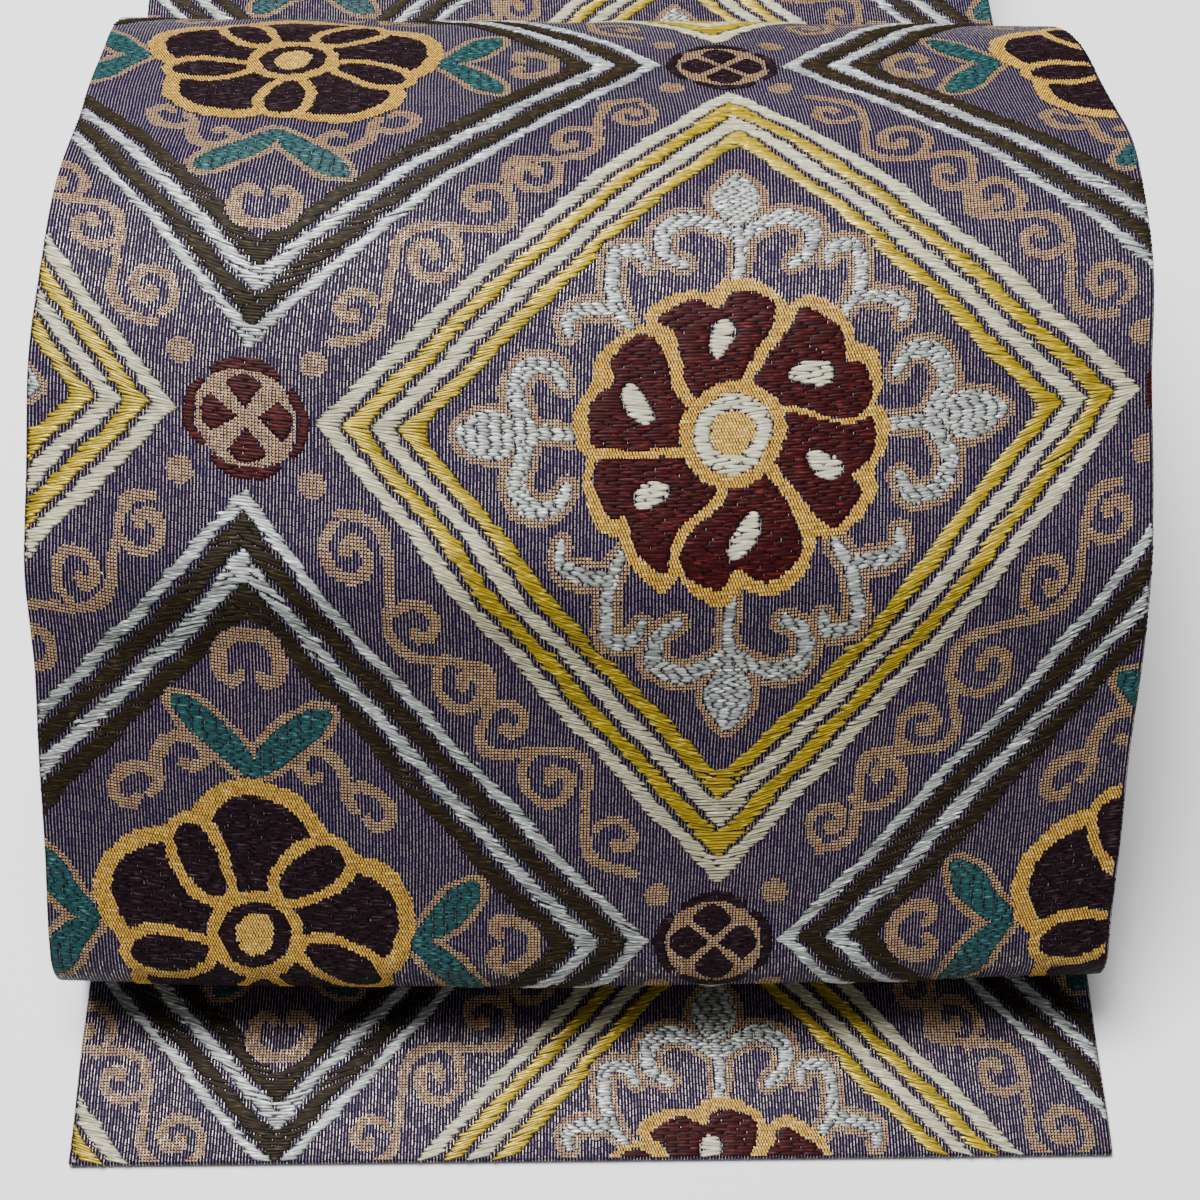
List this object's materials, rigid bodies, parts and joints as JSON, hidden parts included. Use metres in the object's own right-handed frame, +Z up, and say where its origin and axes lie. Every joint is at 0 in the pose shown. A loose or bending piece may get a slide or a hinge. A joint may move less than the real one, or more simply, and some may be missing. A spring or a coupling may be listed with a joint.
{
  "type": "folded obi sash",
  "caption": "Long brocade sash folded flat in a stack, with a flat tail in front and a wide arched drum bow over an open tunnel",
  "frame": {"origin": "on the table surface, under the middle of the folded sash's bounding box", "axes": "+Y runs from the tail end to the back fold, +X along the sash's width to the viewer's right, +Z up"},
  "size_m": [0.3174, 0.504, 0.1656],
  "materials": {
    "brocade": "purple ribbed silk brocade with gold, cream, silver, brown and burgundy figuring"
  },
  "bodies": {
    "root": {"tail_stretch": "brocade", "drum_stretch": "brocade", "back_stretch": "brocade", "folded_length": "brocade"}
  },
  "joints": []
}
